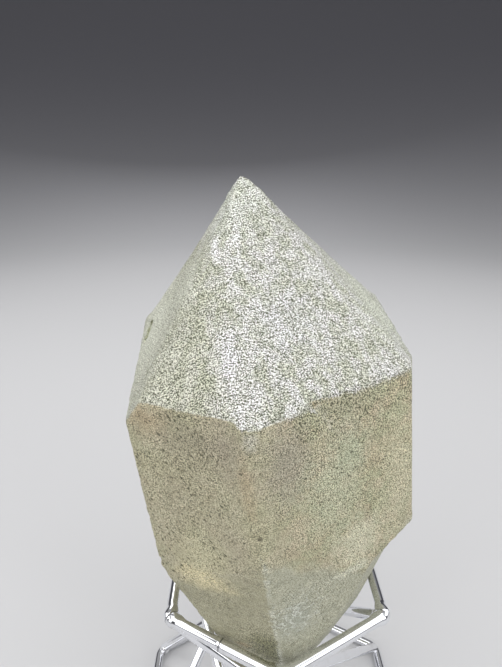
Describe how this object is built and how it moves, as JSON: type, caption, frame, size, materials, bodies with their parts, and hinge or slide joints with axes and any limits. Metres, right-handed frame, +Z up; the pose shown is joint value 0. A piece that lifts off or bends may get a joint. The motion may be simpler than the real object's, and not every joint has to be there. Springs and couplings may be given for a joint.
{
  "type": "chlorite quartz crystal on a wire stand",
  "caption": "Chlorite-laden quartz point, frosted and opaque, leaning upright in the ring of a chromed wire display stand.",
  "frame": {"origin": "middle of the stand's base, on the surface that it stands on", "axes": "+Z up, -Y towards the viewer of the picture, where a corner of the ring and of the base points, +X to the viewer's right"},
  "size_m": [0.0818, 0.0944, 0.17],
  "materials": {
    "crystal": "frosted natural quartz, sage to tan-olive, fine sugary grain",
    "wire": "bright chrome plate on round wire"
  },
  "bodies": {
    "root": {"crystal": "crystal", "ring_front_right": "wire", "ring_right": "wire", "ring_back_right": "wire", "ring_back_left": "wire", "ring_left": "wire", "ring_front_left": "wire", "base_front_right": "wire", "base_right": "wire", "base_back_right": "wire", "base_back_left": "wire", "base_left": "wire", "base_front_left": "wire", "leg_front": "wire", "leg_right_front": "wire", "leg_right_back": "wire", "leg_back": "wire", "leg_left_back": "wire", "leg_left_front": "wire"}
  },
  "joints": []
}
